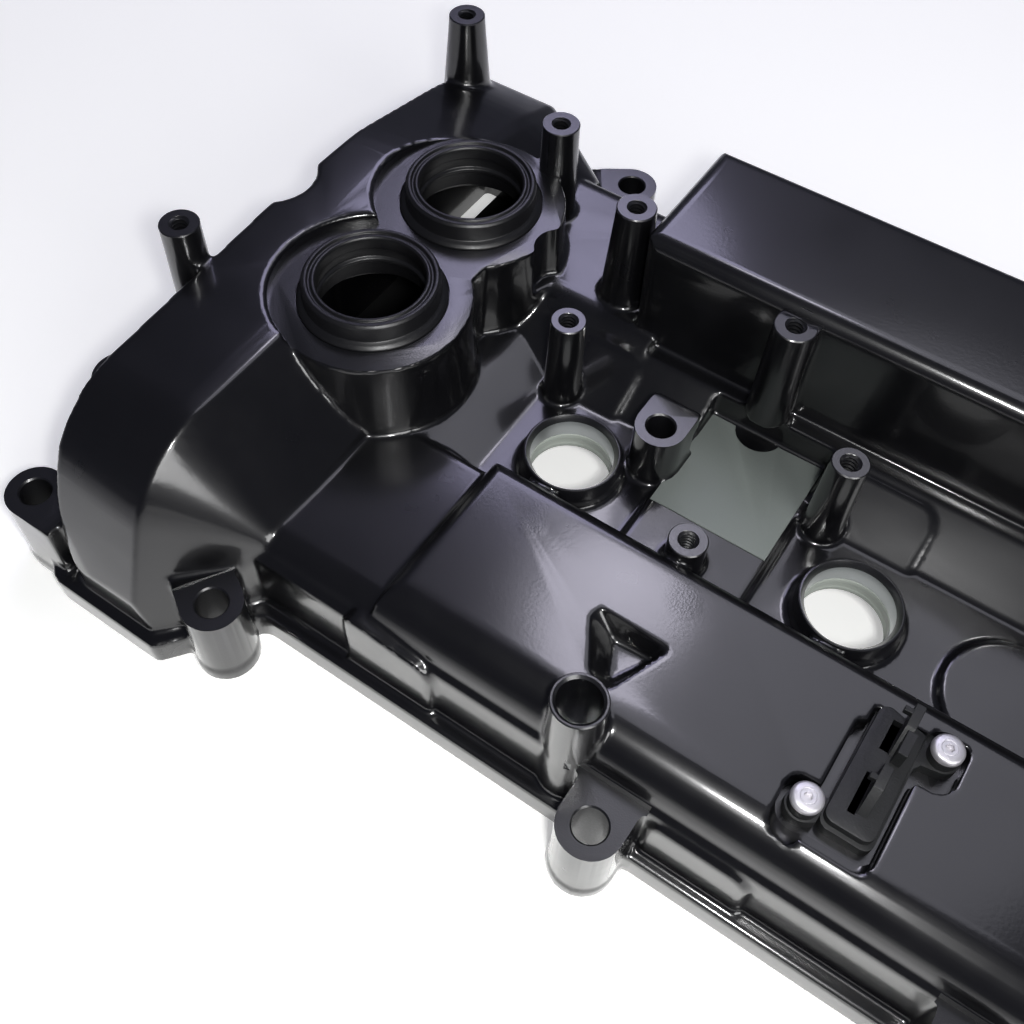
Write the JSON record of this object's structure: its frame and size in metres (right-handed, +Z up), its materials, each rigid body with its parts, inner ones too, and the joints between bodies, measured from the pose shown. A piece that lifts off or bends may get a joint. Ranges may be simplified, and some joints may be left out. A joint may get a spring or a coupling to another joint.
{
  "type": "engine valve cover",
  "caption": "Cast valve cover with a timing dome, round plug wells between two long boxes, round-ended seal face, threaded posts, bolt lugs and a flat flange.",
  "frame": {"origin": "centre of the bounding box in X and Y, on the joint face", "axes": "+X along the engine from the timing dome to the plain end, +Z up from the joint face, +Y towards the tall box"},
  "size_m": [0.5054, 0.2606, 0.088],
  "materials": {
    "painted_casting": "satin black paint on die-cast aluminium",
    "gasket_rubber": "matte",
    "seal_rubber": "satin",
    "baffle_steel": "plated, satin",
    "screw_steel": "plated, satin",
    "clip_plastic": "moulded, matte"
  },
  "bodies": {
    "root": {"cover_casting": "painted_casting", "perimeter_gasket": "gasket_rubber", "plug_well_seal_1": "seal_rubber", "plug_well_seal_2": "seal_rubber", "plug_well_seal_3": "seal_rubber", "plug_well_seal_4": "seal_rubber", "cam_valve_seal_1": "seal_rubber", "cam_valve_seal_2": "seal_rubber", "front_baffle_plate": "baffle_steel", "rear_baffle_plate": "baffle_steel", "front_baffle_screws": "screw_steel", "rear_baffle_screws": "screw_steel", "harness_clip": "clip_plastic", "harness_clip_screws": "screw_steel"}
  },
  "joints": []
}
